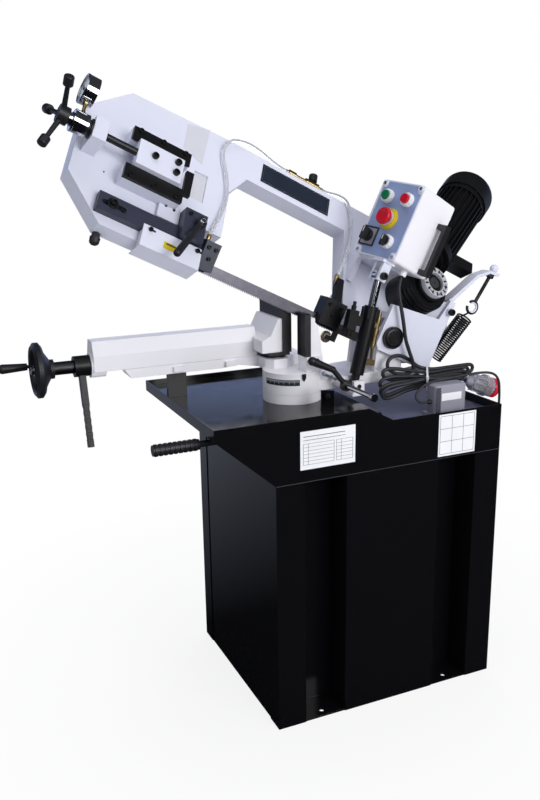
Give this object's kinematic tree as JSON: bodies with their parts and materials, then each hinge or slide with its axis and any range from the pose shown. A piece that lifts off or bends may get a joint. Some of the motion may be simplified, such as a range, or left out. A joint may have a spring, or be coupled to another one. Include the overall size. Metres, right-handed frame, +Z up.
{
  "type": "metal cutting band saw",
  "caption": "Swivelling metal cutting band saw on a sheet steel stand, with tilting bow, screw vise, chip tray, feed cylinder, counterbalance spring and control box.",
  "frame": {"origin": "floor level, centre of the stand's four anchor holes", "axes": "+X toward the drive side along the vise, +Y to the back, +Z up"},
  "size_m": [1.3132, 0.505, 1.4715],
  "materials": {
    "alloy": "bright cast",
    "black_casting": "satin black",
    "black_enamel": "gloss enamel",
    "black_plastic": "moulded",
    "blade_steel": "bluish strip",
    "brass_fitting": "turned",
    "bright_steel": "ground",
    "bristle": "wire brush",
    "cast_grey": "machined",
    "chrome_plate": "polished plate",
    "clear_hose": "clear tube",
    "cord_rubber": "sheath",
    "dark_steel": "blackened",
    "green_button": "moulded",
    "grey_plastic": "moulded",
    "panel_grey": "printed panel",
    "red_button": "moulded",
    "spring_steel": "black spring wire",
    "white_paint": "gloss enamel on castings"
  },
  "bodies": {
    "base": {"stand_panels": "black_enamel", "stand_side_panels": "black_enamel", "chip_tray": "black_enamel", "coolant_pump": "grey_plastic", "turret_base": "white_paint", "vise_bed": "white_paint", "tray_brackets": "black_enamel", "fixed_jaw": "white_paint", "vise_plates": "dark_steel"},
    "tray_lever": {"tray_lever": "black_plastic"},
    "vise_jaw": {"jaw_beam": "white_paint", "jaw_plate": "dark_steel"},
    "vise_screw": {"vise_screw": "dark_steel", "handwheel": "black_plastic"},
    "crank_grip": {"crank_grip": "black_plastic"},
    "clamp_lever": {"clamp_lever": "black_plastic"},
    "turret": {"swivel_arm": "white_paint", "mains_hank": "cord_rubber", "mains_plug": "grey_plastic", "mains_lead": "cord_rubber"},
    "stop_rod": {"stop_rod": "chrome_plate"},
    "lock_lever": {"lock_lever": "black_plastic"},
    "cylinder": {"feed_cylinder": "black_casting", "cylinder_fittings": "brass_fitting"},
    "piston": {"piston_rod": "chrome_plate"},
    "bow": {"bow_frame": "white_paint", "rear_cover": "white_paint", "hinge_pins": "dark_steel", "saw_blade": "blade_steel", "tension_rails": "black_casting", "tension_gauge": "chrome_plate", "guide_clamp": "black_casting", "right_guide": "black_casting", "gearbox": "black_casting", "gear_flange": "alloy", "motor_body": "black_casting", "fan_cowl": "black_casting", "control_box": "white_paint", "control_panel": "panel_grey", "bow_handles": "black_plastic", "spring_arm": "white_paint", "counter_spring": "spring_steel", "coolant_tap": "brass_fitting", "coolant_hoses": "clear_hose"},
    "drive_wheel": {"drive_wheel": "cast_grey", "output_shaft": "bright_steel"},
    "idler_wheel": {"idler_wheel": "cast_grey"},
    "motor_rotor": {"motor_rotor": "bright_steel"},
    "tension_slider": {"tension_slider": "white_paint"},
    "star_handle": {"star_handle": "black_plastic"},
    "guide_bar": {"guide_bar": "black_casting", "blade_guard": "white_paint"},
    "guide_lever": {"guide_lever": "black_plastic"},
    "chip_brush": {"chip_brush": "bristle"},
    "tap_knob": {"tap_knob": "black_plastic"},
    "start_button": {"start_button": "green_button"},
    "stop_button": {"stop_button": "red_button"},
    "emergency_stop": {"emergency_stop": "red_button"},
    "main_switch": {"main_switch": "black_plastic"},
    "selector_switch": {"selector_switch": "black_plastic"}
  },
  "joints": [
    {"name": "swivel", "type": "hinge", "parent": "base", "child": "turret", "pos_m": [-0.158, -0.035, 0.788], "axis": [0, 0, 1], "range_deg": [0, 45]},
    {"name": "bow_lift", "type": "hinge", "parent": "turret", "child": "bow", "pos_m": [0.0851, -0.035, 0.8766], "axis": [0, -1, 0], "range_deg": [0, 26], "deforming": ["counter_spring", "mains_lead"]},
    {"name": "tray_lever_turn", "type": "hinge", "parent": "base", "child": "tray_lever", "pos_m": [-0.262, -0.168, 0.705], "axis": [0, 0, 1], "range_deg": [-30, 0]},
    {"name": "vise_jaw_slide", "type": "slide", "parent": "base", "child": "vise_jaw", "axis": [-1, 0, 0], "range_m": [-0.004, 0.18]},
    {"name": "handwheel_turn", "type": "hinge", "parent": "vise_jaw", "child": "vise_screw", "pos_m": [-0.7, 0.072, 0.8501], "axis": [1, 0, 0], "range_deg": [-300, 13000]},
    {"name": "crank_spin", "type": "hinge", "parent": "vise_screw", "child": "crank_grip", "pos_m": [-0.78, 0.122, 0.8501], "axis": [1, 0, 0], "continuous": true},
    {"name": "clamp_lever_turn", "type": "hinge", "parent": "vise_jaw", "child": "clamp_lever", "pos_m": [-0.64, 0.072, 0.8501], "axis": [1, 0, 0], "range_deg": [-40, 40]},
    {"name": "stop_rod_slide", "type": "slide", "parent": "turret", "child": "stop_rod", "axis": [0, -1, 0], "range_m": [-0.06, 0.07]},
    {"name": "lock_lever_turn", "type": "hinge", "parent": "turret", "child": "lock_lever", "pos_m": [-0.062, -0.127, 0.782], "axis": [0, -1, 0], "range_deg": [0, 30]},
    {"name": "cylinder_tilt", "type": "hinge", "parent": "turret", "child": "cylinder", "pos_m": [-0.025, -0.1, 0.774], "axis": [0, -1, 0], "range_deg": [-0.5, 14.5]},
    {"name": "piston_slide", "type": "slide", "parent": "cylinder", "child": "piston", "axis": [0.2404, 0, 0.9707], "range_m": [-0.046, 0.001]},
    {"name": "drive_spin", "type": "hinge", "parent": "bow", "child": "drive_wheel", "pos_m": [0.17737, 0.03764, 0.93939], "axis": [0.2159, -0.8727, 0.438], "continuous": true},
    {"name": "motor_spin", "type": "hinge", "parent": "bow", "child": "motor_rotor", "pos_m": [0.16982, -0.03769, 1.01678], "axis": [0.751, 0.4351, 0.4967], "continuous": true},
    {"name": "tension_travel", "type": "slide", "parent": "bow", "child": "tension_slider", "axis": [0.8969, 0, -0.4421], "range_m": [0, 0.006]},
    {"name": "idler_spin", "type": "hinge", "parent": "tension_slider", "child": "idler_wheel", "pos_m": [-0.47471, 0.03764, 1.26082], "axis": [0.2159, -0.8727, 0.438], "continuous": true},
    {"name": "star_handle_turn", "type": "hinge", "parent": "bow", "child": "star_handle", "pos_m": [-0.65557, -0.0217, 1.38698], "axis": [0.8969, 0, -0.4421], "range_deg": [-10, 730]},
    {"name": "guide_bar_slide", "type": "slide", "parent": "bow", "child": "guide_bar", "axis": [0.8969, 0, -0.4421], "range_m": [0, 0.15]},
    {"name": "guide_lever_turn", "type": "hinge", "parent": "bow", "child": "guide_lever", "pos_m": [-0.38775, -0.06874, 1.16582], "axis": [0.2159, -0.8727, 0.438], "range_deg": [-30, 30]},
    {"name": "brush_spin", "type": "hinge", "parent": "bow", "child": "chip_brush", "pos_m": [-0.07067, -0.043, 0.88515], "axis": [0, -1, 0], "continuous": true},
    {"name": "tap_knob_turn", "type": "hinge", "parent": "bow", "child": "tap_knob", "pos_m": [-0.01671, 0.1313, 1.24906], "axis": [0.3858, 0.4883, 0.7827], "range_deg": [0, 270]},
    {"name": "start_press", "type": "slide", "parent": "bow", "child": "start_button", "axis": [0.8678, 0.2529, -0.4278], "range_m": [0, 0.004], "stiffness_N_per_m": 300},
    {"name": "stop_press", "type": "slide", "parent": "bow", "child": "stop_button", "axis": [0.8678, 0.2529, -0.4278], "range_m": [0, 0.004], "stiffness_N_per_m": 300},
    {"name": "emergency_press", "type": "slide", "parent": "bow", "child": "emergency_stop", "axis": [0.8678, 0.2529, -0.4278], "range_m": [0, 0.0035]},
    {"name": "main_switch_turn", "type": "hinge", "parent": "bow", "child": "main_switch", "pos_m": [0.04861, -0.03666, 1.11835], "axis": [-0.8678, -0.2529, 0.4278], "range_deg": [0, 90]},
    {"name": "selector_turn", "type": "hinge", "parent": "bow", "child": "selector_switch", "pos_m": [0.06159, -0.10148, 1.10637], "axis": [-0.8678, -0.2529, 0.4278], "range_deg": [-45, 45]}
  ],
  "couplings": [
    {"joint": "handwheel_turn", "follows": "vise_jaw_slide", "rad_per_m": 1256.6},
    {"joint": "cylinder_tilt", "follows": "bow_lift", "ratio": 0.52911},
    {"joint": "piston_slide", "follows": "bow_lift", "m_per_rad": -0.096432},
    {"joint": "idler_spin", "follows": "drive_spin", "ratio": 1},
    {"joint": "motor_spin", "follows": "drive_spin", "ratio": 24},
    {"joint": "star_handle_turn", "follows": "tension_travel", "rad_per_m": 2094.4}
  ]
}
